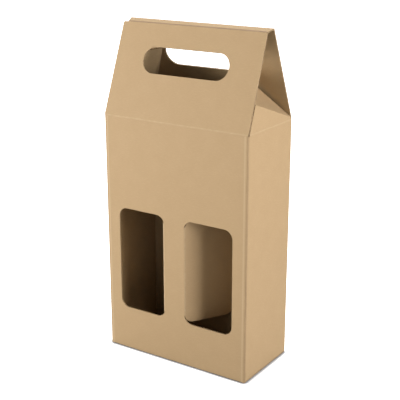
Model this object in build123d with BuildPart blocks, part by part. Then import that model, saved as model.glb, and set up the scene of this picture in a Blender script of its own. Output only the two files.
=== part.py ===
# Carton for two bottles, folded from one blank of brown fluted board.
# The body is an upright tube with two windows. Above its shoulder creases the front and
# back walls go on as handle panels that lean together under a narrow top strip, and the
# side walls go on as flaps pushed in between them. The cut-outs of the windows stay on
# as flaps folded inwards, where they keep the bottles apart.
# Millimetres, +Z up. The origin is at the middle of the footprint, on the ground.
# -Y is the front, with the windows.
import math
import os

from build123d import *

# Board and folds
board = 1.6  # thickness of the fluted board
corner_radius = 2.0  # outside radius of the folded upright corners
crease_gap = 0.3  # free space between a crease's rounded foot and the edge below it
layer_gap = 0.2  # air between board layers that lie on each other
cut_width = 0.8  # width of a knife cut that has sprung open
overrun = 5.0  # how far cutting shapes run past what they cut

# Body
body_width = 180.0
body_depth = 90.0
shoulder_height = 270.0  # height of the four shoulder creases

# Windows and their folded-in flaps
window_width = 59.0  # from the crease of the flap to the far cut
window_height = 117.0
window_bottom = 51.0
window_radius = 10.0
window_post = 27.2  # board left standing between the creases of the two windows
window_kerf = 0.4  # free space round a flap that is back in its window
window_foot_radius = 13.0  # corners of the flap at its crease, so it clears the wall as it turns
window_flap_angle = 60.0  # how far the flaps stand inwards from the front wall

# Handle
handle_front_length = 102.0
handle_back_length = 105.5
handle_front_top = 8.1  # from the middle plane forward to the top edge of the front panel
handle_back_top = 4.2  # from the middle plane back to the top fold of the back panel
handle_foot_inset = 0.6  # how much each end of a handle panel is set in at its foot
handle_top_inset = 1.8  # and at its top
handle_corner_radius = 2.0
slot_length = 106.0
slot_height = 28.4
slot_from_top = 24.5  # board above the hand slot, in both panels

# Top strip and the tuck behind the front panel
tuck_clearance = 0.5
tuck_drop = 0.3  # how far the fold of the strip lies below the front panel's top edge
tuck_length = 14.0
strip_taper = 3.6  # how much each end of the strip is set in from back to front
tuck_taper = 6.0
tuck_radius = 4.0

# Side flaps
left_flap_length = 75.0
right_flap_length = 70.0
side_flap_clearance = 0.6
side_flap_radius = 4.0
left_flap_tilt = 26.5  # degrees inwards from upright
right_fold_angle = 53.0  # degrees that the right flap turns inwards at its slanted fold
right_fold_front_rise = 28.0  # height of that fold over the crease, at the flap's front edge
right_fold_back_rise = 2.5  # and at its back edge

# Bottom and glue lap
bottom_end_inset = 1.0  # the outer bottom flaps stop this far inside the side walls
bottom_fold_radius = 1.6
side_fold_radius = 1.2
seam_offset = 9.0  # how far the interlocking seam steps to each side of the middle
seam_step_length = 26.0
bottom_side_length = 52.0
bottom_side_clearance = 1.5
bottom_side_taper = 24.0
glue_lap_width = 26.0
glue_lap_end = 6.0  # slant at each end of the lap
glue_lap_inset = 8.0  # how far the lap stops short of the ground and of the shoulder

# Worked out from the sizes above
half_board = board / 2
half_width = body_width / 2
half_depth = body_depth / 2
wall_top = shoulder_height - half_board - crease_gap
inner_half_width = half_width - board
inner_half_depth = half_depth - board
hinge_y = half_depth - half_board
hinge_x = half_width - half_board
window_hinge_x = window_post / 2
window_middle = window_bottom + window_height / 2
front_lean = math.asin((hinge_y - handle_front_top) / handle_front_length)
back_lean = math.asin((hinge_y - handle_back_top) / handle_back_length)
handle_foot_half = half_width - handle_foot_inset
handle_top_half = half_width - handle_top_inset

os.makedirs("parts", exist_ok=True)


# Carton body: the glued tube with its windows, the glue lap and the closed bottom
with BuildPart() as carton_body:
    # the four walls, standing on the inner layer of the bottom
    ring_bottom = board + layer_gap
    with BuildSketch(Plane.XY.offset(ring_bottom)):
        RectangleRounded(body_width, body_depth, corner_radius)
    extrude(amount=wall_top - ring_bottom)
    fillet(carton_body.edges().group_by(Axis.Z)[0], side_fold_radius)
    with BuildSketch(Plane.XY.offset(ring_bottom)):
        RectangleRounded(body_width - 2 * board, body_depth - 2 * board, corner_radius - half_board)
    extrude(amount=wall_top - ring_bottom, mode=Mode.SUBTRACT)

    # the windows, one on each side of the middle post
    opening_width = window_width + half_board + crease_gap + window_kerf
    opening_height = window_height + 2 * window_kerf
    opening_middle = window_hinge_x - half_board - crease_gap + opening_width / 2
    with BuildSketch(Plane.XZ.offset(half_depth - 2 * board)):
        with Locations((-opening_middle, window_middle), (opening_middle, window_middle)):
            RectangleRounded(opening_width, opening_height, window_radius + window_kerf)
    extrude(amount=2 * board + overrun, mode=Mode.SUBTRACT)

    # front and back walls run down into the outer bottom flaps round a soft fold
    stub_top = ring_bottom + side_fold_radius
    with BuildSketch(Plane.YZ) as bottom_profile:
        with BuildLine():
            Polyline(
                (-half_depth, stub_top),
                (-half_depth, 0),
                (half_depth, 0),
                (half_depth, stub_top),
                (inner_half_depth, stub_top),
                (inner_half_depth, board),
                (-inner_half_depth, board),
                (-inner_half_depth, stub_top),
                close=True,
            )
        make_face()
        fillet(bottom_profile.vertices().group_by(Axis.Y)[0], bottom_fold_radius)
    extrude(amount=half_width - bottom_end_inset, both=True)

    # the outer bottom flaps meet along a seam with one slanting step, where they lock
    with BuildSketch(Plane.XY):
        with BuildLine():
            seam = Polyline(
                (-half_width, seam_offset),
                (-seam_step_length / 2, seam_offset),
                (seam_step_length / 2, -seam_offset),
                (half_width, -seam_offset),
            )
            offset(seam, amount=cut_width / 2, side=Side.BOTH)
        make_face()
    extrude(amount=board + layer_gap / 2, mode=Mode.SUBTRACT)

    # the inner bottom flaps come off the side walls and lie on the outer ones
    side_base_half = inner_half_depth - bottom_side_clearance
    side_tip_half = side_base_half - bottom_side_taper
    side_tip_x = inner_half_width - bottom_side_length
    for side in (-1, 1):
        with BuildSketch(Plane.XY.offset(ring_bottom)):
            with BuildLine():
                Polyline(
                    (side * (inner_half_width + half_board), -side_base_half),
                    (side * (inner_half_width - bottom_side_taper / 2), -side_base_half),
                    (side * side_tip_x, -side_tip_half),
                    (side * side_tip_x, side_tip_half),
                    (side * (inner_half_width - bottom_side_taper / 2), side_base_half),
                    (side * (inner_half_width + half_board), side_base_half),
                    close=True,
                )
            make_face()
        extrude(amount=board)

    # the glue lap comes off the left wall and is glued inside the back wall
    lap_top = shoulder_height - glue_lap_inset
    with BuildSketch(Plane.XZ.offset(-inner_half_depth)):
        with BuildLine():
            Polyline(
                (-inner_half_width - half_board, glue_lap_inset),
                (-inner_half_width, glue_lap_inset),
                (-inner_half_width + glue_lap_width, glue_lap_inset + glue_lap_end),
                (-inner_half_width + glue_lap_width, lap_top - glue_lap_end),
                (-inner_half_width, lap_top),
                (-inner_half_width - half_board, lap_top),
                close=True,
            )
        make_face()
    extrude(amount=board)
carton_body.part.label = "carton_body"
export_step(carton_body.part, "parts/carton_body.step")


# Front handle panel: leans back from the front shoulder crease and holds the hand slot
front_plane = Plane(
    origin=(0, -hinge_y, shoulder_height),
    x_dir=(1, 0, 0),
    z_dir=(0, -math.cos(front_lean), math.sin(front_lean)),
)
with BuildPart() as front_handle_panel:
    with BuildSketch(front_plane) as front_outline:
        with BuildLine():
            Polyline(
                (-handle_foot_half, 0),
                (handle_foot_half, 0),
                (handle_top_half, handle_front_length),
                (-handle_top_half, handle_front_length),
                close=True,
            )
        make_face()
        fillet(front_outline.vertices().group_by(Axis.Y)[-1], handle_corner_radius)
        with Locations((0, handle_front_length - slot_from_top - slot_height / 2)):
            SlotOverall(slot_length, slot_height, mode=Mode.SUBTRACT)
    extrude(amount=half_board, both=True)
    # the crease at its foot is rounded about the mid-line of the board
    with BuildSketch(Plane.YZ.offset(-handle_foot_half)):
        with Locations((-hinge_y, shoulder_height)):
            Circle(half_board)
    extrude(amount=2 * handle_foot_half)
front_handle_panel.part.label = "front_handle_panel"
export_step(front_handle_panel.part, "parts/front_handle_panel.step")


# Back handle panel: the same slot, then the top strip and the tuck behind the front panel
front_up = Vector(0, math.sin(front_lean), math.cos(front_lean))
front_in = Vector(0, math.cos(front_lean), -math.sin(front_lean))
front_top = Vector(0, -hinge_y, shoulder_height) + front_up * handle_front_length
back_up = Vector(0, -math.sin(back_lean), math.cos(back_lean))
back_top = Vector(0, hinge_y, shoulder_height) + back_up * handle_back_length
strip_front = front_top + front_in * (board + tuck_clearance) - front_up * tuck_drop
strip_run = back_top - strip_front
strip_out = Vector(0, -strip_run.Z, strip_run.Y).normalized()
strip_front_half = handle_top_half - strip_taper
back_plane = Plane(
    origin=(0, hinge_y, shoulder_height),
    x_dir=(-1, 0, 0),
    z_dir=(0, math.cos(back_lean), math.sin(back_lean)),
)
strip_plane = Plane(origin=strip_front, x_dir=(1, 0, 0), z_dir=strip_out)
tuck_plane = Plane(origin=strip_front, x_dir=(1, 0, 0), z_dir=front_in * -1)
with BuildPart() as back_handle_panel:
    with BuildSketch(back_plane):
        with BuildLine():
            Polyline(
                (-handle_foot_half, 0),
                (handle_foot_half, 0),
                (handle_top_half, handle_back_length),
                (-handle_top_half, handle_back_length),
                close=True,
            )
        make_face()
        with Locations((0, handle_back_length - slot_from_top - slot_height / 2)):
            SlotOverall(slot_length, slot_height, mode=Mode.SUBTRACT)
    extrude(amount=half_board, both=True)
    with BuildSketch(strip_plane):
        with BuildLine():
            Polyline(
                (-strip_front_half, 0),
                (strip_front_half, 0),
                (handle_top_half, strip_run.length),
                (-handle_top_half, strip_run.length),
                close=True,
            )
        make_face()
    extrude(amount=half_board, both=True)
    with BuildSketch(tuck_plane) as tuck_outline:
        with BuildLine():
            Polyline(
                (-strip_front_half, 0),
                (strip_front_half, 0),
                (strip_front_half - tuck_taper, -tuck_length),
                (-strip_front_half + tuck_taper, -tuck_length),
                close=True,
            )
        make_face()
        fillet(tuck_outline.vertices().group_by(Axis.Y)[0], tuck_radius)
    extrude(amount=half_board, both=True)
    # foot crease and the two folds of the strip, rounded about the mid-line of the board
    for fold_point, fold_half in (
        (Vector(0, hinge_y, shoulder_height), handle_foot_half),
        (back_top, handle_top_half),
        (strip_front, strip_front_half),
    ):
        with BuildSketch(Plane.YZ.offset(-fold_half)):
            with Locations((fold_point.Y, fold_point.Z)):
                Circle(half_board)
        extrude(amount=2 * fold_half)
back_handle_panel.part.label = "back_handle_panel"
export_step(back_handle_panel.part, "parts/back_handle_panel.step")


# Side flaps are cut to the slope of the two handle panels that they stand between
flap_foot_front = hinge_y - half_board / math.cos(front_lean) - side_flap_clearance
flap_foot_back = hinge_y - half_board / math.cos(back_lean) - side_flap_clearance


def flap_front(reach):
    """Place of a side flap's front edge, at this distance from its crease."""
    return -flap_foot_front + reach * math.tan(front_lean)


def flap_back(reach):
    """Place of its back edge."""
    return flap_foot_back - reach * math.tan(back_lean)


def flap_crease(side):
    """Round foot of a side flap, about the mid-line of the board."""
    with BuildPart() as foot:
        with BuildSketch(Plane.XZ.offset(flap_foot_front)):
            with Locations((side * hinge_x, shoulder_height)):
                Circle(half_board)
        extrude(amount=-flap_foot_front - flap_foot_back)
    return foot.part


# Left side flap: flat, leaning in from its crease
left_tilt = math.radians(left_flap_tilt)
left_plane = Plane(
    origin=(-hinge_x, 0, shoulder_height),
    x_dir=(0, -1, 0),
    z_dir=(-math.cos(left_tilt), 0, math.sin(left_tilt)),
)
with BuildPart() as left_side_flap:
    with BuildSketch(left_plane) as left_outline:
        with BuildLine():
            Polyline(
                (-flap_front(0), 0),
                (-flap_back(0), 0),
                (-flap_back(left_flap_length), left_flap_length),
                (-flap_front(left_flap_length), left_flap_length),
                close=True,
            )
        make_face()
        fillet(left_outline.vertices().group_by(Axis.Y)[-1], side_flap_radius)
    extrude(amount=half_board, both=True)
    add(flap_crease(-1))
left_side_flap.part.label = "left_side_flap"
export_step(left_side_flap.part, "parts/left_side_flap.step")


# Right side flap: its foot has stayed upright in front, and the rest turns inwards along a
# fold that slants up from the back end of the crease to the front edge
fold_front = Vector(hinge_x, flap_front(right_fold_front_rise), shoulder_height + right_fold_front_rise)
fold_back = Vector(hinge_x, flap_back(right_fold_back_rise), shoulder_height + right_fold_back_rise)
fold_run = fold_back - fold_front
fold_turn = math.radians(right_fold_angle)
side_out = Vector(1, 0, 0)
tip_out = side_out * math.cos(fold_turn) + side_out.cross(fold_run.normalized()) * math.sin(fold_turn)
tip_plane = Plane(origin=fold_front, x_dir=fold_run, z_dir=tip_out)


def tip_corner(place):
    """Corner of the right flap's tip, at the flap's length from the crease, in the tip's plane."""
    steepness = math.hypot(tip_out.X, tip_out.Z)
    from_fold = tip_out.Y * (place - fold_back.Y) - tip_out.Z * right_fold_back_rise
    lean = math.atan2(tip_out.Z, tip_out.X) + math.asin(from_fold / (steepness * right_flap_length))
    corner = Vector(
        hinge_x - right_flap_length * math.sin(lean),
        place,
        shoulder_height + right_flap_length * math.cos(lean),
    )
    return tip_plane.to_local_coords(corner)


with BuildPart() as right_side_flap:
    with BuildSketch(Plane(origin=(hinge_x, 0, shoulder_height), x_dir=(0, 1, 0), z_dir=(1, 0, 0))):
        with BuildLine():
            Polyline(
                (flap_front(0), 0),
                (flap_back(0), 0),
                (fold_back.Y, right_fold_back_rise),
                (fold_front.Y, right_fold_front_rise),
                close=True,
            )
        make_face()
    extrude(amount=half_board, both=True)
    back_corner = tip_corner(flap_back(right_flap_length))
    front_corner = tip_corner(flap_front(right_flap_length))
    with BuildSketch(tip_plane) as tip_outline:
        with BuildLine():
            Polyline(
                (0, 0),
                (fold_run.length, 0),
                (back_corner.X, back_corner.Y),
                (front_corner.X, front_corner.Y),
                close=True,
            )
        make_face()
        fillet(tip_outline.vertices().sort_by(Axis.Y)[-2:], side_flap_radius)
    extrude(amount=half_board, both=True)
    # the slanted fold is rounded about the mid-line of the board, as the crease is
    with BuildSketch(Plane(origin=fold_front, z_dir=fold_run)):
        Circle(half_board)
    extrude(amount=fold_run.length)
    add(flap_crease(1))
right_side_flap.part.label = "right_side_flap"
export_step(right_side_flap.part, "parts/right_side_flap.step")


def window_flap(side):
    """Cut-out of a window, folded inwards about the crease beside the middle post."""
    angle = math.radians(window_flap_angle)
    hinge = Vector(side * window_hinge_x, -hinge_y, window_middle)
    away = Vector(side * math.cos(angle), math.sin(angle), 0)
    flap_plane = Plane(origin=hinge, x_dir=away, z_dir=away.cross(Vector(0, 0, 1)))
    end_half = window_height / 2 - window_radius
    foot_half = window_height / 2 - window_foot_radius
    with BuildPart() as flap:
        with BuildSketch(flap_plane):
            with BuildLine():
                foot = Line((0, -foot_half), (0, foot_half))
                top_in = TangentArc(foot @ 1, (window_foot_radius, window_height / 2), tangent=(0, 1))
                top = Line(top_in @ 1, (window_width - window_radius, window_height / 2))
                top_out = TangentArc(top @ 1, (window_width, end_half), tangent=(1, 0))
                end = Line(top_out @ 1, (window_width, -end_half))
                low_out = TangentArc(end @ 1, (window_width - window_radius, -window_height / 2), tangent=(0, -1))
                low = Line(low_out @ 1, (window_foot_radius, -window_height / 2))
                TangentArc(low @ 1, foot @ 0, tangent=(-1, 0))
            make_face()
        extrude(amount=half_board, both=True)
        with BuildSketch(Plane.XY.offset(window_middle - foot_half)):
            with Locations((hinge.X, hinge.Y)):
                Circle(half_board)
        extrude(amount=2 * foot_half)
    return flap.part


# Window flaps: mirror images on the two sides of the middle post
left_window_flap = window_flap(-1)
left_window_flap.label = "left_window_flap"
export_step(left_window_flap, "parts/left_window_flap.step")

right_window_flap = window_flap(1)
right_window_flap.label = "right_window_flap"
export_step(right_window_flap, "parts/right_window_flap.step")
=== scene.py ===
import math

import bmesh
import bpy
from mathutils import Matrix, Vector


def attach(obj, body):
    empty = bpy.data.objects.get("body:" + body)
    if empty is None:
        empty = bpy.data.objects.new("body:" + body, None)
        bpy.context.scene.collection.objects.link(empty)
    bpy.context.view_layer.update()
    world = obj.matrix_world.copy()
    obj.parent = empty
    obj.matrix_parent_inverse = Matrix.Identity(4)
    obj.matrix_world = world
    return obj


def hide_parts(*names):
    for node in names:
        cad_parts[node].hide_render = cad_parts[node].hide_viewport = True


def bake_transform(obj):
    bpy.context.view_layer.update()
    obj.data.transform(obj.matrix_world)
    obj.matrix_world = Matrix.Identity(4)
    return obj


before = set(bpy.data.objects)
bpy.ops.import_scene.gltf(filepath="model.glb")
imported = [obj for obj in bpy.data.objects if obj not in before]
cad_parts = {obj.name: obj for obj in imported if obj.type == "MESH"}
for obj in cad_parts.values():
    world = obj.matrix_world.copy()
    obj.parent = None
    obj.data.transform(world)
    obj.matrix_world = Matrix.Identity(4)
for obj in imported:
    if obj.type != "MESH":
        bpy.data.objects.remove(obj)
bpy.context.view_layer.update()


# Carton body: four walls, two windows, a glue lap inside the back wall and a closed bottom.
# All of it is one blank of fine-flute board with brown kraft paper on both sides, cut and
# creased in a die, then folded round and glued along the lap.
BOARD = 0.0016
BODY_WIDTH = 0.180
BODY_DEPTH = 0.090
SHOULDER = 0.270
CORNER_RADIUS = 0.002
CREASE_GAP = 0.0003
WALL_TOP = SHOULDER - BOARD / 2 - CREASE_GAP
FLUTE_PITCH = 0.0033
KRAFT_LIGHT = (0.487, 0.330, 0.173, 1.0)
KRAFT_DARK = (0.421, 0.283, 0.144, 1.0)
# stretched paper over folds, lighter, with a painted highlight
KRAFT_WORN_AND_GLINT = (0.56, 0.415, 0.25, 1.0)
# painted shade: the colour of the dark line along upright folds and along the top strip's front
KRAFT_PAINTED_SHADE = (0.26, 0.165, 0.082, 1.0)
MARK_STRENGTH = 0.45
# painted shade: the same kraft as outside, made darker for the shade inside the carton
INNER_SHADED_LIGHT = (0.390, 0.268, 0.138, 1.0)
INNER_SHADED_DARK = (0.335, 0.227, 0.112, 1.0)
CUT_PAPER = (0.54, 0.40, 0.24, 1.0)
# painted shade in the hollows of the flutes on a cut edge
CUT_HOLLOW_SHADE = (0.24, 0.16, 0.08, 1.0)
NO_FOLD = 1.0


class Panel:
    """One flat stretch of the board. Its origin is the middle of its lower end, on the mid-plane.
    Folds says whether it has folds at its sides and at its ends. Marks are the strengths of the
    lighter ridge, stretched paper with a painted highlight, beside the side folds and of the painted
    shade along the upper end."""

    def __init__(
        self, origin, across, up, half, length, bend=0.0, folds=(False, False), marks=(0, 0)
    ):
        self.origin = Vector(origin)
        self.across = Vector(across).normalized()
        self.up = Vector(up).normalized()
        self.out = self.across.cross(self.up)
        self.half = half
        self.length = length
        self.bend = bend
        self.folds = folds
        self.marks = marks

    def local(self, point):
        """Across, along and depth below the outer face, as if the panel had no bend."""
        away = point - self.origin
        return away.dot(self.across), away.dot(self.up), BOARD / 2 - away.dot(self.out)

    def distance(self, point):
        """How far a point lies from the panel, to tell which panel a face belongs to."""
        across, up, depth = self.local(point)
        over_side = max(0.0, abs(across) - self.half)
        over_end = max(0.0, -up, up - self.length)
        return Vector((over_side, over_end, depth - BOARD / 2)).length

    def place(self, point):
        """Across, along and depth in the board, measured round the bend where the panel has one."""
        across, up, depth = self.local(point)
        over = abs(across) - self.half
        if self.bend and over > 0:
            inward = self.bend - depth
            depth = self.bend - math.hypot(over, inward)
            across = math.copysign(self.half + self.bend * math.atan2(over, inward), across)
        return Vector((across, up, depth))

    def side_fold(self):
        """Half the width between the upright folds, measured to the middle of their bends."""
        return self.half + self.bend * math.pi / 4 if self.folds[0] else NO_FOLD

    def end_fold(self):
        """Half the length between the creases at the panel's ends."""
        return self.length / 2 if self.folds[1] else NO_FOLD


def add(tree, kind, inputs=None, **settings):
    """A shader node with its settings, and a value or a link for each input that is named."""
    node = tree.nodes.new(kind)
    for name, value in settings.items():
        setattr(node, name, value)
    for socket, value in (inputs or {}).items():
        if isinstance(value, bpy.types.NodeSocket):
            tree.links.new(value, node.inputs[socket])
        else:
            node.inputs[socket].default_value = value
    return node


def calc(tree, operation, *values):
    """The result of a sum on values that change over the surface."""
    return add(tree, "ShaderNodeMath", dict(enumerate(values)), operation=operation).outputs[0]


def ease(tree, value, low, high, bottom=0.0, top=1.0):
    """Goes softly from bottom to top as the value goes from low to high."""
    ranges = {"Value": value, "From Min": low, "From Max": high, "To Min": bottom, "To Max": top}
    return add(tree, "ShaderNodeMapRange", ranges, interpolation_type="SMOOTHSTEP").outputs[0]


def new_group(name, inputs, outputs):
    """A shader node group, what is given to it and what it gives back."""
    group = bpy.data.node_groups.new(name, "ShaderNodeTree")
    for in_out, sockets in (("INPUT", inputs), ("OUTPUT", outputs)):
        for socket, kind in sockets:
            group.interface.new_socket(socket, in_out=in_out, socket_type="NodeSocket" + kind)
    given = group.nodes.new("NodeGroupInput").outputs
    result = group.nodes.new("NodeGroupOutput").inputs
    return group, given, result


# paper fibres lie in two slanting directions, long across the flutes and fine the other ways
FIBRE_TURNS = (0.30, -0.42)
FIBRE_FINENESS = (230, 1500, 1500)
FIBRE_SPREAD = (0.50, 0.78)
MIDDLE_FIBRES = 0.35
CLOUD_FINENESS = 55.0
GRAIN_FINENESS = 1900.0
FLECKS = (0.70, 0.80)
FLECK_DARK = -0.45
MIDDLE_TONE = 0.55


def kraft_paper_group():
    """Brown paper: long fibres lying mostly across the flutes, cloudy pulp and a few dark flecks."""
    tree, given, result = new_group(
        "kraft_paper",
        [("Place", "Vector"), ("Fibres", "Float"), ("Clouds", "Float")],
        [("Tone", "Float"), ("Height", "Float")],
    )
    threads = []
    for turn in FIBRE_TURNS:
        lying = add(
            tree,
            "ShaderNodeMapping",
            {"Vector": given["Place"], "Rotation": (0, 0, turn), "Scale": FIBRE_FINENESS},
        )
        noise = add(
            tree, "ShaderNodeTexNoise", {"Vector": lying.outputs[0], "Scale": 1.0, "Detail": 2.0}
        )
        threads.append(noise.outputs[0])
    fibres = ease(tree, calc(tree, "MAXIMUM", *threads), *FIBRE_SPREAD)
    clouds = add(
        tree,
        "ShaderNodeTexNoise",
        {"Vector": given["Place"], "Scale": CLOUD_FINENESS, "Detail": 4.0},
    ).outputs[0]
    grain = add(
        tree,
        "ShaderNodeTexNoise",
        {"Vector": given["Place"], "Scale": GRAIN_FINENESS, "Detail": 1.0},
    ).outputs[0]
    fleck = ease(tree, grain, *FLECKS)
    clouds = calc(tree, "SUBTRACT", clouds, 0.5)
    tone = calc(tree, "MULTIPLY_ADD", clouds, given["Clouds"], MIDDLE_TONE)
    lighter = calc(tree, "SUBTRACT", fibres, MIDDLE_FIBRES)
    tone = calc(tree, "MULTIPLY_ADD", lighter, given["Fibres"], tone)
    tone = calc(tree, "MULTIPLY_ADD", fleck, FLECK_DARK, tone)
    tree.links.new(add(tree, "ShaderNodeClamp", {"Value": tone}).outputs[0], result["Tone"])
    height = calc(tree, "MULTIPLY_ADD", grain, 0.5, calc(tree, "MULTIPLY", fibres, 0.5))
    tree.links.new(height, result["Height"])
    return tree


PATCH_FINENESS = 160.0
PATCHES = (0.30, 0.70)
# how far from a fold its marks are at full strength, and where they have faded out
STRETCHED = (0.0002, 0.0011)
FOLD_SHADE_REACH = (0.0006, 0.0020)
FRONT_SHADE_REACH = (0.0020, 0.0040)
RIDGE_AWAY = 0.0034
RIDGE = (0.0004, 0.0013)
TROUGH_AWAY = 0.0021
TROUGH_HALF = 0.0011


def crease_line_group():
    """The marks of the folds: over a crease at a panel's end the paper is stretched lighter, with a
    painted highlight. An upright fold gets a dark line of painted shade, with a lighter ridge of
    stretched paper and painted highlight beside it on the wide walls. The handle's top strip gets
    painted shadow along its front."""
    tree, given, result = new_group(
        "crease_line",
        [("Place", "Vector"), ("Fold across", "Vector"), ("Fold up", "Vector")],
        [("Wear and glint", "Float"), ("Shade", "Float"), ("Height", "Float")],
    )
    fold_across = add(tree, "ShaderNodeSeparateXYZ", {0: given["Fold across"]})
    fold_up = add(tree, "ShaderNodeSeparateXYZ", {0: given["Fold up"]})
    across, half_width, ridged = fold_across.outputs
    up, half_length, front_shade = fold_up.outputs
    side_fold = calc(tree, "SUBTRACT", half_width, calc(tree, "ABSOLUTE", across))
    end_fold = calc(tree, "SUBTRACT", half_length, calc(tree, "ABSOLUTE", up))
    patchy = add(
        tree,
        "ShaderNodeTexNoise",
        {"Vector": given["Place"], "Scale": PATCH_FINENESS, "Detail": 3.0},
    ).outputs[0]
    # stretched paper over an end crease is lighter, partly as a painted highlight
    stretched = ease(tree, end_fold, *STRETCHED, 1.0, 0.0)
    stretched = calc(tree, "MULTIPLY", stretched, ease(tree, patchy, *PATCHES, 0.25, 1.0))
    # a lighter ridge beside an upright fold: stretched paper with a painted highlight
    off_ridge = calc(tree, "ABSOLUTE", calc(tree, "SUBTRACT", side_fold, RIDGE_AWAY))
    ridge = calc(tree, "MULTIPLY", ease(tree, off_ridge, *RIDGE, 1.0, 0.0), ridged)
    tree.links.new(calc(tree, "MAXIMUM", stretched, ridge), result["Wear and glint"])
    # painted shade: a dark line along each upright fold, where the crease's trough lies in shade
    fold_shade = ease(tree, calc(tree, "ABSOLUTE", side_fold), *FOLD_SHADE_REACH, 1.0, 0.0)
    fold_shade = calc(tree, "MULTIPLY", fold_shade, ease(tree, patchy, *PATCHES, 0.8, 1.0))
    # painted shadow along the strip's front, in the gap at the front panel's top edge
    front_edge = ease(tree, calc(tree, "SUBTRACT", half_length, up), *FRONT_SHADE_REACH, 1.0, 0.0)
    front_edge = calc(tree, "MULTIPLY", front_edge, front_shade)
    tree.links.new(calc(tree, "MAXIMUM", fold_shade, front_edge), result["Shade"])
    trough = calc(tree, "MINIMUM", side_fold, end_fold)
    trough = calc(tree, "ABSOLUTE", calc(tree, "SUBTRACT", trough, TROUGH_AWAY))
    tree.links.new(ease(tree, trough, 0.0, TROUGH_HALF, 0.0, 1.0), result["Height"])
    return tree


# the wave's swing as a share of the board, and distances at which its paper and the liners fade
WAVE_SHARE = 0.33
WAVE_PAPER = (0.00013, 0.00026)
LINER_START = (0.00050, 0.00060)


def cut_section_group():
    """The board's section on a cut edge: two papers with a wave of thinner paper between them."""
    tree, given, result = new_group(
        "cut_section",
        [("Place", "Vector"), ("Pitch", "Float"), ("Board", "Float")],
        [("Paper", "Float")],
    )
    across, _, depth = add(tree, "ShaderNodeSeparateXYZ", {0: given["Place"]}).outputs
    from_middle = calc(tree, "SUBTRACT", depth, calc(tree, "MULTIPLY", given["Board"], 0.5))
    turn = calc(tree, "MULTIPLY", calc(tree, "DIVIDE", across, given["Pitch"]), math.tau)
    swing = calc(tree, "MULTIPLY", given["Board"], WAVE_SHARE)
    wave = calc(tree, "MULTIPLY", calc(tree, "SINE", turn), swing)
    off_wave = calc(tree, "ABSOLUTE", calc(tree, "SUBTRACT", from_middle, wave))
    medium = ease(tree, off_wave, *WAVE_PAPER, 1.0, 0.0)
    liners = ease(tree, calc(tree, "ABSOLUTE", from_middle), *LINER_START)
    tree.links.new(calc(tree, "MAXIMUM", medium, liners), result["Paper"])
    return tree


kraft_paper = kraft_paper_group()
crease_line = crease_line_group()
cut_section = cut_section_group()


def attribute(tree, name):
    """A vector that lay_out and crease write on each face corner."""
    return add(tree, "ShaderNodeAttribute", attribute_name=name).outputs["Vector"]


def new_material(name):
    """An empty material and its node tree."""
    material = bpy.data.materials.new(name)
    material.use_nodes = True
    material.node_tree.nodes.clear()
    return material, material.node_tree


def mixed(tree, factor, first, second):
    """The colour between two colours."""
    mix = tree.nodes.new("ShaderNodeMix")
    mix.data_type = "RGBA"
    for socket, value in (("Factor", factor), ("A", first), ("B", second)):
        place = next(s for s in mix.inputs if s.name == socket and s.enabled)
        if isinstance(value, bpy.types.NodeSocket):
            tree.links.new(value, place)
        else:
            place.default_value = value
    return next(s for s in mix.outputs if s.enabled)


PAPER_SHINE = (0.80, 0.68)
FLUTE_RIB = 0.000003
FOLD_TROUGH = 0.00010
PAPER_GRAIN = 0.00003
CUT_SUNK = 0.00018
CUT_GRAIN = 0.00005


def kraft_liner_material(name, dark, light):
    """Kraft paper on a face of the board. The inner face gets darker colours, as painted shade for
    the carton's inside.
    """
    material, tree = new_material(name)
    place = attribute(tree, "board_place")
    paper = add(
        tree,
        "ShaderNodeGroup",
        {"Place": place, "Fibres": 0.42, "Clouds": 0.5},
        node_tree=kraft_paper,
    )
    folds = {
        "Place": place,
        "Fold across": attribute(tree, "fold_across"),
        "Fold up": attribute(tree, "fold_up"),
    }
    crease = add(tree, "ShaderNodeGroup", folds, node_tree=crease_line)
    colour = mixed(tree, paper.outputs["Tone"], dark, light)
    # the lighter mark is stretched paper with a painted highlight; the dark mark is painted shade
    for mark, mark_colour in (("Wear and glint", KRAFT_WORN_AND_GLINT), ("Shade", KRAFT_PAINTED_SHADE)):
        strength = calc(tree, "MULTIPLY", crease.outputs[mark], MARK_STRENGTH)
        colour = mixed(tree, strength, colour, mark_colour)
    across = add(tree, "ShaderNodeSeparateXYZ", {0: place}).outputs[0]
    ribs = calc(tree, "SINE", calc(tree, "MULTIPLY", across, math.tau / FLUTE_PITCH))
    ribbed = add(
        tree, "ShaderNodeBump", {"Height": ribs, "Distance": FLUTE_RIB, "Strength": 1.0}
    )
    folded = add(
        tree,
        "ShaderNodeBump",
        {"Height": crease.outputs["Height"], "Distance": FOLD_TROUGH, "Normal": ribbed.outputs[0]},
    )
    rough = add(
        tree,
        "ShaderNodeBump",
        {"Height": paper.outputs["Height"], "Distance": PAPER_GRAIN, "Normal": folded.outputs[0]},
    )
    shine = ease(tree, paper.outputs["Tone"], 0.2, 0.8, *PAPER_SHINE)
    skin = add(
        tree,
        "ShaderNodeBsdfPrincipled",
        {"Base Color": colour, "Roughness": shine, "Normal": rough.outputs[0], "IOR": 1.40},
    )
    add(tree, "ShaderNodeOutputMaterial", {"Surface": skin.outputs[0]})
    return material


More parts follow.
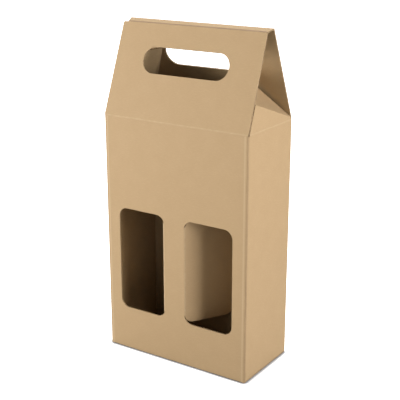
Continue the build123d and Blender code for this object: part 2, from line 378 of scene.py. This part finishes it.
def cut_edge_material():
    """Raw edge that the die's knife leaves, with painted shade in the hollows between the papers."""
    material, tree = new_material("cut_edge")
    place = attribute(tree, "board_place")
    section = add(
        tree,
        "ShaderNodeGroup",
        {"Place": place, "Pitch": FLUTE_PITCH, "Board": BOARD},
        node_tree=cut_section,
    )
    paper = add(
        tree,
        "ShaderNodeGroup",
        {"Place": place, "Fibres": 0.9, "Clouds": 0.9},
        node_tree=kraft_paper,
    )
    fresh = mixed(tree, paper.outputs["Tone"], KRAFT_DARK, CUT_PAPER)
    # painted shade: the hollows between the papers are given a dark colour
    colour = mixed(tree, section.outputs["Paper"], CUT_HOLLOW_SHADE, fresh)
    sunk = add(
        tree, "ShaderNodeBump", {"Height": section.outputs["Paper"], "Distance": CUT_SUNK}
    )
    rough = add(
        tree,
        "ShaderNodeBump",
        {"Height": paper.outputs["Height"], "Distance": CUT_GRAIN, "Normal": sunk.outputs[0]},
    )
    skin = add(
        tree,
        "ShaderNodeBsdfPrincipled",
        {"Base Color": colour, "Roughness": 0.9, "Normal": rough.outputs[0], "IOR": 1.35},
    )
    add(tree, "ShaderNodeOutputMaterial", {"Surface": skin.outputs[0]})
    return material


BOARD_MATERIALS = (
    kraft_liner_material("kraft_outer", KRAFT_DARK, KRAFT_LIGHT),
    kraft_liner_material("kraft_inner_shaded", INNER_SHADED_DARK, INNER_SHADED_LIGHT),
    cut_edge_material(),
)
OUTER, INNER, CUT_EDGE = 0, 1, 2


MERGE = 1e-6
FLAT = math.radians(0.3)
CUT_ANGLE = math.radians(50)
SHARP_ANGLE = math.radians(40)
KNIFE_ROUND = 0.00014
FACE_TURN = 0.45


def merged_copy(node):
    """A CAD node's mesh, with its loose triangles joined and its flat faces made whole."""
    bm = bmesh.new()
    bm.from_mesh(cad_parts[node].data)
    bmesh.ops.remove_doubles(bm, verts=bm.verts, dist=MERGE)
    bmesh.ops.dissolve_limit(bm, angle_limit=FLAT, verts=bm.verts, edges=bm.edges)
    return bm


def crush_cuts(bm, kept_sharp=lambda middle: False):
    """The knife rounds the paper a little over every edge that it cuts. A piece's shortest edges
    hold this bevel back, so less than 0.01 mm of KNIFE_ROUND comes out."""
    edges = [
        e
        for e in bm.edges
        if e.is_manifold
        and e.is_convex
        and e.calc_face_angle() > CUT_ANGLE
        and not kept_sharp((e.verts[0].co + e.verts[1].co) / 2)
    ]
    bmesh.ops.bevel(
        bm,
        geom=edges,
        offset=KNIFE_ROUND,
        offset_type="OFFSET",
        affect="EDGES",
        segments=2,
        profile=0.5,
        material=-1,
        clamp_overlap=True,
    )


def lay_out(bm, panels):
    """Writes each face corner's place in the board, and tells cut edges from paper."""
    place = bm.loops.layers.float_vector.new("board_place")
    fold_across = bm.loops.layers.float_vector.new("fold_across")
    fold_up = bm.loops.layers.float_vector.new("fold_up")
    for face in bm.faces:
        middle = face.calc_center_median()
        panel = min(panels, key=lambda p: p.distance(middle))
        across, up, depth = panel.place(middle)
        on_bend = panel.bend and abs(across) > panel.half and abs(face.normal.z) < 0.5
        if on_bend or abs(face.normal.dot(panel.out)) > FACE_TURN:
            face.material_index = OUTER if depth < BOARD / 2 else INNER
        else:
            face.material_index = CUT_EDGE
        face.smooth = True
        for loop in face.loops:
            across, up, depth = panel.place(loop.vert.co)
            loop[place] = (across, up, depth)
            loop[fold_across] = (across, panel.side_fold(), panel.marks[0])
            loop[fold_up] = (up - panel.length / 2, panel.end_fold(), panel.marks[1])


def board_piece(bm, name, body=None, nodes=()):
    """A finished piece of the carton, shaded smooth over its bends and sharp at its edges."""
    for edge in bm.edges:
        edge.smooth = not edge.is_manifold or edge.calc_face_angle() < SHARP_ANGLE
    mesh = bpy.data.meshes.new(name)
    bm.to_mesh(mesh)
    bm.free()
    for material in BOARD_MATERIALS:
        mesh.materials.append(material)
    piece = bpy.data.objects.new(name, mesh)
    bpy.context.scene.collection.objects.link(piece)
    even = piece.modifiers.new("even_shading", "WEIGHTED_NORMAL")
    even.keep_sharp = True
    if nodes:
        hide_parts(*nodes)
    if body:
        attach(piece, body)
    return piece


WALL_HALF_X = BODY_WIDTH / 2 - CORNER_RADIUS
WALL_HALF_Y = BODY_DEPTH / 2 - CORNER_RADIUS
MID_X = BODY_WIDTH / 2 - BOARD / 2
MID_Y = BODY_DEPTH / 2 - BOARD / 2
GLUE_GAP = 0.0002
LAYER = BOARD + GLUE_GAP
BOTTOM_SIDE_LENGTH = 0.052
LAP_WIDTH = 0.026
# the wide walls get the lighter ridge of stretched paper and painted highlight beside their folds
RIDGED = (1, 0)
body_panels = []
for side in (-1, 1):
    wide = (0, side * MID_Y, 0), (-side, 0, 0), (0, 0, 1), WALL_HALF_X, SHOULDER, CORNER_RADIUS
    narrow = (-side * MID_X, 0, 0), (0, -side, 0), (0, 0, 1), WALL_HALF_Y, SHOULDER, CORNER_RADIUS
    body_panels.append(Panel(*wide, folds=(True, True), marks=RIDGED))
    body_panels.append(Panel(*narrow, folds=(True, True)))
body_panels.append(Panel((0, MID_Y, BOARD / 2), (1, 0, 0), (0, -1, 0), MID_X, 2 * MID_Y))
for side in (-1, 1):
    start = (side * MID_X, 0, LAYER + BOARD / 2)
    body_panels.append(
        Panel(start, (0, -side, 0), (-side, 0, 0), MID_Y, BOTTOM_SIDE_LENGTH)
    )
lap_middle = -(BODY_WIDTH / 2 - BOARD - LAP_WIDTH / 2)
body_panels.append(
    Panel((lap_middle, MID_Y - BOARD, 0), (-1, 0, 0), (0, 0, 1), LAP_WIDTH / 2, SHOULDER)
)

WINDOW_HINGE_X = 0.0136
POST_HALF = WINDOW_HINGE_X - BOARD / 2 - CREASE_GAP
NEAR = 1e-5


def meets_crease(middle):
    """The wall tops and the post's edges go on into a soft crease, so the knife leaves them be."""
    at_top = middle.z > WALL_TOP - NEAR
    at_post = abs(abs(middle.x) - POST_HALF) < NEAR and middle.y < 0
    return at_top or at_post


body = merged_copy("carton_body")
crush_cuts(body, meets_crease)
lay_out(body, body_panels)
board_piece(body, "carton_walls", "carton", ["carton_body"])


# Front handle panel: the front wall goes on above its shoulder crease and leans back.
# A long round-ended slot is cut in it for the hand.
HANDLE_HALF = BODY_WIDTH / 2
HANDLE_FRONT_LENGTH = 0.102
FRONT_TOP_AWAY = 0.0081
FRONT_LEAN = math.asin((MID_Y - FRONT_TOP_AWAY) / HANDLE_FRONT_LENGTH)
CREASE_REACH = BOARD / 2 + CREASE_GAP


def trim_foot(bm, axis_point, up):
    """Takes off the panel's stiff foot, so that the soft crease can take its place."""
    bmesh.ops.bisect_plane(
        bm,
        geom=bm.verts[:] + bm.edges[:] + bm.faces[:],
        dist=MERGE,
        plane_co=axis_point + up * CREASE_REACH,
        plane_no=up,
        clear_inner=True,
    )
    bmesh.ops.holes_fill(bm, edges=[e for e in bm.edges if e.is_boundary])
    bmesh.ops.recalc_face_normals(bm, faces=bm.faces)


front_foot = Vector((0, -MID_Y, SHOULDER))
front_up = Vector((0, math.sin(FRONT_LEAN), math.cos(FRONT_LEAN)))
front_panel = Panel(front_foot, (1, 0, 0), front_up, HANDLE_HALF, HANDLE_FRONT_LENGTH)
front = merged_copy("front_handle_panel")
crush_cuts(front)
trim_foot(front, front_foot, front_up)
lay_out(front, [front_panel])
board_piece(front, "handle_front", "front_handle", ["front_handle_panel"])


# Back handle panel: leans forward to meet the front one and has the same slot.
# At its top it folds into a narrow strip over both panels, then into a tuck that is
# pushed down behind the front panel and holds the handle shut.
HANDLE_BACK_LENGTH = 0.1055
BACK_TOP_AWAY = 0.0042
BACK_LEAN = math.asin((MID_Y - BACK_TOP_AWAY) / HANDLE_BACK_LENGTH)
# strength of the painted shadow along the top strip's front
FRONT_SHADE_MARKS = (0, 2.2)
TUCK_CLEARANCE = 0.0005
TUCK_DROP = 0.0003
TUCK_LENGTH = 0.014
back_foot = Vector((0, MID_Y, SHOULDER))
back_up = Vector((0, -math.sin(BACK_LEAN), math.cos(BACK_LEAN)))
back_top = back_foot + back_up * HANDLE_BACK_LENGTH
front_in = Vector((0, math.cos(FRONT_LEAN), -math.sin(FRONT_LEAN)))
strip_front = front_foot + front_up * (HANDLE_FRONT_LENGTH - TUCK_DROP)
strip_front += front_in * (BOARD + TUCK_CLEARANCE)
strip_run = strip_front - back_top
strip = back_top, (-1, 0, 0), strip_run, HANDLE_HALF, strip_run.length
back_panels = [
    Panel(back_foot, (-1, 0, 0), back_up, HANDLE_HALF, HANDLE_BACK_LENGTH),
    Panel(*strip, folds=(False, True), marks=FRONT_SHADE_MARKS),
    Panel(strip_front, (-1, 0, 0), -front_up, HANDLE_HALF, TUCK_LENGTH),
]
back = merged_copy("back_handle_panel")
crush_cuts(back)
trim_foot(back, back_foot, back_up)
lay_out(back, back_panels)
board_piece(back, "handle_back", "back_handle", ["back_handle_panel"])


# Side flaps: the side walls go on above their shoulder creases and are pushed in under the
# handle. The left one leans in flat. The right one's foot has stayed upright in front, and
# the rest of it turns inwards along a slanted fold.
SIDES = {"left": -1, "right": 1}
FLAP_CLEARANCE = 0.0006
LEFT_FLAP_LENGTH = 0.075
LEFT_FLAP_TILT = math.radians(26.5)
RIGHT_FLAP_LENGTH = 0.070
RIGHT_FOLD_TURN = math.radians(53)
FOLD_FRONT_RISE = 0.028
FOLD_BACK_RISE = 0.0025
FLAP_FOOT_FRONT = MID_Y - BOARD / 2 / math.cos(FRONT_LEAN) - FLAP_CLEARANCE
FLAP_FOOT_BACK = MID_Y - BOARD / 2 / math.cos(BACK_LEAN) - FLAP_CLEARANCE
left_foot = Vector((-MID_X, 0, SHOULDER))
left_up = Vector((math.sin(LEFT_FLAP_TILT), 0, math.cos(LEFT_FLAP_TILT)))
right_foot = Vector((MID_X, 0, SHOULDER))
fold_front = right_foot + Vector(
    (0, FOLD_FRONT_RISE * math.tan(FRONT_LEAN) - FLAP_FOOT_FRONT, FOLD_FRONT_RISE)
)
fold_back = right_foot + Vector(
    (0, FLAP_FOOT_BACK - FOLD_BACK_RISE * math.tan(BACK_LEAN), FOLD_BACK_RISE)
)
turn = Matrix.Rotation(-RIGHT_FOLD_TURN, 3, fold_back - fold_front)
tip_start = fold_front + turn @ (right_foot - fold_front)
tip_across = turn @ Vector((0, 1, 0))
tip_up = turn @ Vector((0, 0, 1))
flap_panels = {
    "left": [Panel(left_foot, (0, -1, 0), left_up, MID_Y, LEFT_FLAP_LENGTH)],
    "right": [
        Panel(right_foot, (0, 1, 0), (0, 0, 1), MID_Y, FOLD_FRONT_RISE),
        Panel(tip_start, tip_across, tip_up, MID_Y, RIGHT_FLAP_LENGTH),
    ],
}
LEFT_EDGE_SPREAD = 0.043
FRONT_EDGE_SHIFT = 0.0005


def bear_on_back_panel(bm, panel):
    """The flap's back edge bears on the back panel, and the stiff model's swings clear of it."""
    for vert in bm.verts:
        if vert.co.y > 0:
            vert.co.y += panel.local(vert.co)[1] * LEFT_EDGE_SPREAD


def bear_on_front_panel(bm):
    """The flap's front edge lies close to the front panel, and the stiff model's keeps a gap."""
    for vert in bm.verts:
        if vert.co.y < -BOARD:
            vert.co.y -= FRONT_EDGE_SHIFT


for name, panels in flap_panels.items():
    flap = merged_copy(f"{name}_side_flap")
    if name == "left":
        bear_on_back_panel(flap, panels[0])
    bear_on_front_panel(flap)
    crush_cuts(flap)
    trim_foot(flap, panels[0].origin, panels[0].up)
    lay_out(flap, panels)
    board_piece(flap, f"side_flap_{name}", f"{name}_flap", [f"{name}_side_flap"])


# Window flaps: the cut-outs of the windows stay on by a crease beside the middle post and
# are folded inwards, where they part the two bottles.
WINDOW_ANGLE = math.radians(60)
WINDOW_WIDTH = 0.059
WINDOW_HEIGHT = 0.117
WINDOW_SILL = 0.051
WINDOW_MIDDLE = WINDOW_SILL + WINDOW_HEIGHT / 2
WINDOW_RADIUS = 0.010
WINDOW_FOOT_RADIUS = 0.013
WINDOW_CORNER_REACH = 0.0107


def follow_window_cut(bm, foot, away):
    """The corners at the crease follow the window's own, for the soft paper there gives way."""
    corner_rise = WINDOW_HEIGHT / 2 - WINDOW_FOOT_RADIUS
    new_corner_rise = WINDOW_HEIGHT / 2 - WINDOW_RADIUS
    for vert in bm.verts:
        reach = (vert.co - foot).dot(away)
        rise = vert.co.z - foot.z
        corner = Vector((reach - WINDOW_FOOT_RADIUS, abs(rise) - corner_rise))
        if corner.x < 0 < corner.y:
            corner = corner.normalized()
            new_reach = corner.x * WINDOW_CORNER_REACH + WINDOW_RADIUS
            vert.co += away * (new_reach - reach)
            new_rise = new_corner_rise + corner.y * WINDOW_RADIUS
            vert.co.z = foot.z + math.copysign(new_rise, rise)


for name, side in SIDES.items():
    foot = Vector((side * WINDOW_HINGE_X, -MID_Y, WINDOW_MIDDLE))
    away = Vector((side * math.cos(WINDOW_ANGLE), math.sin(WINDOW_ANGLE), 0))
    flap = merged_copy(f"{name}_window_flap")
    follow_window_cut(flap, foot, away)
    crush_cuts(flap)
    trim_foot(flap, foot, away)
    # the flutes run upright here, so across the board is away from the crease
    middle = foot + away * WINDOW_WIDTH / 2 - Vector((0, 0, WINDOW_HEIGHT / 2))
    lay_out(flap, [Panel(middle, away * side, (0, 0, 1), WINDOW_WIDTH, WINDOW_HEIGHT)])
    board_piece(flap, f"window_flap_{name}", f"{name}_divider", [f"{name}_window_flap"])


# Creases: where a flap folds off its wall the board is crushed thin along a line and the
# papers bend round it in a soft fold, built here at the flap's rest angle and fixed in place.
CREASE_STEPS = 11
UP = Vector((0, 0, 1))
ALONG_X = Vector((1, 0, 0))
ALONG_Y = Vector((0, 1, 0))
CORNER_OVERLAP = 0.0008
HANDLE_END_GAP = 0.0006
WINDOW_INSET_WALL = 0.0089
WINDOW_INSET_FLAP = 0.0045
# half-lengths of each crease on its wall and on its flap
HANDLE_FOOT_HALVES = (WALL_HALF_X + CORNER_OVERLAP, HANDLE_HALF - HANDLE_END_GAP)
SIDE_FOOT_HALVES = (FLAP_FOOT_FRONT, FLAP_FOOT_FRONT + FRONT_EDGE_SHIFT)
WINDOW_FOOT_HALVES = (
    WINDOW_HEIGHT / 2 - WINDOW_INSET_WALL,
    WINDOW_HEIGHT / 2 - WINDOW_INSET_FLAP,
)


def crease(name, bodies, axis_point, along, wall_up, out, angle, halves, flutes_cross=True):
    """A strip of board, as wide as the crease reaches on both sides, bent about the line through
    axis_point. The flutes cross it, or run along it where flutes_cross is False."""
    inward = -out
    bm = bmesh.new()
    bmesh.ops.create_cube(bm, size=1.0)
    bmesh.ops.scale(bm, vec=(2 * halves[0], 2 * CREASE_REACH, BOARD), verts=bm.verts)
    lengthwise = [e for e in bm.edges if abs(e.verts[0].co.y - e.verts[1].co.y) > CREASE_REACH]
    bmesh.ops.subdivide_edges(bm, edges=lengthwise, cuts=CREASE_STEPS, use_grid_fill=True)
    place = bm.loops.layers.float_vector.new("board_place")
    fold_across = bm.loops.layers.float_vector.new("fold_across")
    fold_up = bm.loops.layers.float_vector.new("fold_up")
    for face in bm.faces:
        face.smooth = True
        face.material_index = CUT_EDGE
        if abs(face.normal.z) > 0.5:
            face.material_index = OUTER if face.normal.z > 0 else INNER
        for loop in face.loops:
            x, u, v = loop.vert.co
            run = (x, u, BOARD / 2 - v) if flutes_cross else (u, x, BOARD / 2 - v)
            loop[place] = run
            loop[fold_across] = (0.0, NO_FOLD, 0.0)
            loop[fold_up] = (0.0, abs(u), 0.0)
    start = axis_point - wall_up * CREASE_REACH
    end_up = wall_up * math.cos(angle) + inward * math.sin(angle)
    end = axis_point + end_up * CREASE_REACH
    for vert in bm.verts:
        x, u, v = vert.co
        t = (u / CREASE_REACH + 1) / 2
        middle = start * (1 - t) ** 2 + axis_point * 2 * t * (1 - t) + end * t**2
        heading = ((axis_point - start) * (1 - t) + (end - axis_point) * t).normalized()
        level = heading.cross(along)
        level *= math.copysign(1, level.dot(out))
        widening = 1 + t * (halves[1] / halves[0] - 1)
        vert.co = middle + level * v + along * x * widening
    bmesh.ops.recalc_face_normals(bm, faces=bm.faces)
    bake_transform(board_piece(bm, name))


crease("crease_front", ("carton", "front_handle"), front_foot, ALONG_X, UP, -ALONG_Y,
       FRONT_LEAN, HANDLE_FOOT_HALVES)
crease("crease_back", ("carton", "back_handle"), back_foot, ALONG_X, UP, ALONG_Y,
       BACK_LEAN, HANDLE_FOOT_HALVES)
crease("crease_side_left", ("carton", "left_flap"), left_foot, ALONG_Y, UP, -ALONG_X,
       LEFT_FLAP_TILT, SIDE_FOOT_HALVES)
crease("crease_side_right", ("carton", "right_flap"), right_foot, ALONG_Y, UP, ALONG_X,
       0.0, SIDE_FOOT_HALVES)
for name, side in SIDES.items():
    foot = Vector((side * WINDOW_HINGE_X, -MID_Y, WINDOW_MIDDLE))
    crease(f"crease_window_{name}", ("carton", f"{name}_divider"), foot, UP, side * ALONG_X,
           -ALONG_Y, WINDOW_ANGLE, WINDOW_FOOT_HALVES, flutes_cross=False)


# Floor, light and camera: a plain white studio floor under soft light, with the camera
# where the photographer stood. The floor's colour holds a painted contact shadow where the carton
# touches it.
FLOOR_HALF = 12.0
FLOOR_DROP = 0.00005
FLOOR_PALE = (0.93, 0.93, 0.93, 1.0)
FLOOR_SHADED = (0.02, 0.02, 0.022, 1.0)
FLOOR_BOUNCE = (0.34, 0.34, 0.34, 1.0)
CONTACT_REACH = 0.005
CONTACT_FALLOFF = 2.5
floor_bm = bmesh.new()
bmesh.ops.create_grid(floor_bm, x_segments=1, y_segments=1, size=FLOOR_HALF)
bmesh.ops.translate(floor_bm, vec=(0, 0, -FLOOR_DROP), verts=floor_bm.verts)
floor_mesh = bpy.data.meshes.new("studio_floor")
floor_bm.to_mesh(floor_mesh)
floor_bm.free()
floor = bpy.data.objects.new("studio_floor", floor_mesh)
bpy.context.scene.collection.objects.link(floor)
floor_material, floor_tree = new_material("studio_floor")
# painted contact shadow: ambient occlusion darkens the floor's colour close to the carton
close_by = add(
    floor_tree, "ShaderNodeAmbientOcclusion", {"Distance": CONTACT_REACH}, samples=32
)
shade = calc(floor_tree, "POWER", close_by.outputs["AO"], CONTACT_FALLOFF)
shade_colour = mixed(floor_tree, shade, FLOOR_SHADED, FLOOR_PALE)
floor_bright = add(
    floor_tree,
    "ShaderNodeBsdfPrincipled",
    {
        "Base Color": shade_colour,
        "Roughness": 0.9,
        "Emission Color": shade_colour,
        "Emission Strength": 1.0,
    },
)
floor_dim = add(floor_tree, "ShaderNodeBsdfDiffuse", {"Color": FLOOR_BOUNCE})
seen = add(floor_tree, "ShaderNodeLightPath").outputs["Is Camera Ray"]
floor_skin = add(
    floor_tree,
    "ShaderNodeMixShader",
    {0: seen, 1: floor_dim.outputs[0], 2: floor_bright.outputs[0]},
)
add(floor_tree, "ShaderNodeOutputMaterial", {"Surface": floor_skin.outputs[0]})
floor_mesh.materials.append(floor_material)

WHITE = (1.0, 1.0, 1.0)
world = bpy.data.worlds.new("studio")
bpy.context.scene.world = world
world.use_nodes = True
backdrop = world.node_tree.nodes["Background"]
backdrop.inputs["Color"].default_value = (*WHITE, 1.0)
in_view = add(world.node_tree, "ShaderNodeLightPath").outputs["Is Camera Ray"]
world.node_tree.links.new(in_view, backdrop.inputs["Strength"])

LIT_HEIGHT = 0.18
LAMP_DISTANCE = 1.6
SOFTBOX_SIZE = 1.0
STRIP_SIZE = 0.35
COOL = (0.94, 0.95, 1.0)
SUN_SPREAD = math.radians(40)


def hang_lamp(lamp, azimuth, elevation):
    """Turns a lamp to the carton; azimuth 0 is in front of the carton and 90 at its right."""
    holder = bpy.data.objects.new(lamp.name, lamp)
    a, e = math.radians(azimuth), math.radians(elevation)
    toward = Vector((math.sin(a) * math.cos(e), -math.cos(a) * math.cos(e), math.sin(e)))
    holder.location = Vector((0, 0, LIT_HEIGHT)) + toward * LAMP_DISTANCE
    holder.rotation_mode = "QUATERNION"
    holder.rotation_quaternion = toward.to_track_quat("Z", "Y")
    bpy.context.scene.collection.objects.link(holder)


def softbox(name, azimuth, elevation, power, size=SOFTBOX_SIZE, tint=WHITE):
    """A square studio lamp."""
    lamp = bpy.data.lights.new(name, "AREA")
    lamp.color = tint
    lamp.shape = "SQUARE"
    lamp.size = size
    lamp.energy = power
    hang_lamp(lamp, azimuth, elevation)


softbox("softbox_left", -60, 5, 45.5)
softbox("softbox_right", 85, 15, 26.5, tint=COOL)
softbox("strip_right", 70, 8, 2.6, size=STRIP_SIZE)
softbox("softbox_high", 60, 35, 2.5)
softbox("fill_left", -35, 12, 2.4)
softbox("fill_right", 20, 15, 1.2)
top_left = bpy.data.lights.new("top_left", "SUN")
top_left.energy = 3.6
top_left.angle = SUN_SPREAD
hang_lamp(top_left, -150, 60)

CAMERA_PLACE = (0.5294, -0.7955, 0.4819)
CAMERA_YAW = math.radians(33.466)
CAMERA_PITCH = math.radians(17.697)
CAMERA_LENS = 82.61
scene_camera = bpy.data.cameras.new("camera")
scene_camera.sensor_width = 36
scene_camera.lens = CAMERA_LENS
scene_camera.clip_start = 0.05
scene_camera.clip_end = 50
camera = bpy.data.objects.new("camera", scene_camera)
camera.location = CAMERA_PLACE
looking = Vector((
    -math.sin(CAMERA_YAW) * math.cos(CAMERA_PITCH),
    math.cos(CAMERA_YAW) * math.cos(CAMERA_PITCH),
    -math.sin(CAMERA_PITCH),
))
camera.rotation_mode = "QUATERNION"
camera.rotation_quaternion = looking.to_track_quat("-Z", "Y")
bpy.context.scene.collection.objects.link(camera)
bpy.context.scene.camera = camera
bpy.context.scene.view_settings.view_transform = "Standard"
